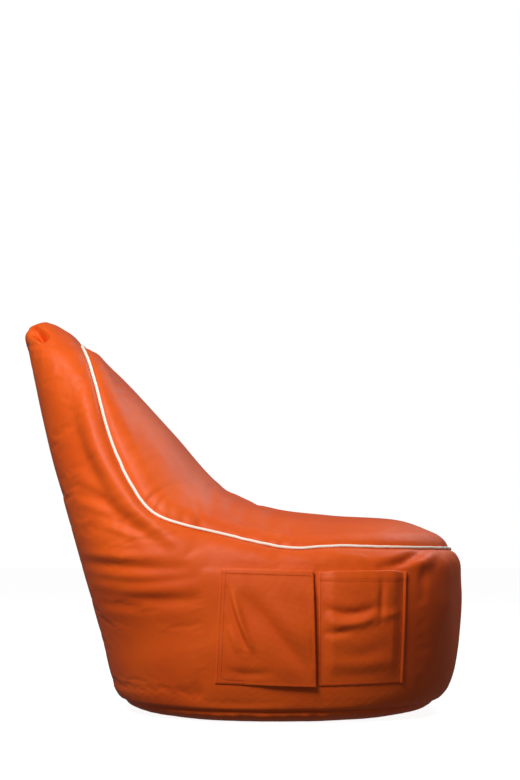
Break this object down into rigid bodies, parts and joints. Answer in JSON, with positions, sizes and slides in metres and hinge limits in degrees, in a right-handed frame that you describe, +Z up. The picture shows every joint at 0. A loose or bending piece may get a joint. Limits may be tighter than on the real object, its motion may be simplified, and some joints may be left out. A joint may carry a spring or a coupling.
{
  "type": "bean bag chair",
  "caption": "High-backed bean bag lounger with a soft seat, a raised backrest, contrast piping along the seams, side pockets and a zipped liner full of beads.",
  "frame": {"origin": "on the floor, under the bag, on its left-right middle plane", "axes": "+Z up, -Y the way the sitter faces, +Y towards the backrest, -X the sitter's right, where the pockets are"},
  "size_m": [0.7706, 0.9039, 0.7995],
  "materials": {
    "cover_fabric": "satin",
    "piping_fabric": "satin",
    "bead_foam": "matte",
    "liner_fabric": "matte",
    "zip_tape": "matte",
    "zip_coil": "satin",
    "liner_zip_tape": "matte",
    "liner_zip_coil": "satin",
    "zip_stop": "satin",
    "zip_slider": "satin"
  },
  "bodies": {
    "chair": {"seat_back_panel": "cover_fabric", "side_panel_right": "cover_fabric", "side_panel_left": "cover_fabric", "base_panel": "cover_fabric", "pocket_front": "cover_fabric", "pocket_rear": "cover_fabric", "piping": "piping_fabric", "bead_filling": "bead_foam", "liner_right": "liner_fabric", "liner_left": "liner_fabric", "zip_tape_right": "zip_tape", "zip_tape_left": "zip_tape", "zip_coil_right": "zip_coil", "zip_coil_left": "zip_coil", "zip_stop_bottom": "zip_stop", "zip_stop_top": "zip_stop", "liner_zip_tape_right": "liner_zip_tape", "liner_zip_tape_left": "liner_zip_tape", "liner_zip_coil_right": "liner_zip_coil", "liner_zip_coil_left": "liner_zip_coil", "liner_zip_stop_bottom": "zip_stop", "liner_zip_stop_top": "zip_stop"},
    "cover_zip_slider": {"zip_slider": "zip_slider"},
    "inner_zip_slider": {"liner_zip_slider": "zip_slider"}
  },
  "joints": [
    {"name": "cover_zip_slide", "type": "slide", "parent": "chair", "child": "cover_zip_slider", "axis": [0, -0.2534, -0.9673], "range_m": [0, 0.2755]},
    {"name": "liner_zip_slide", "type": "slide", "parent": "chair", "child": "inner_zip_slider", "axis": [0, -0.2534, -0.9673], "range_m": [0, 0.193]}
  ]
}
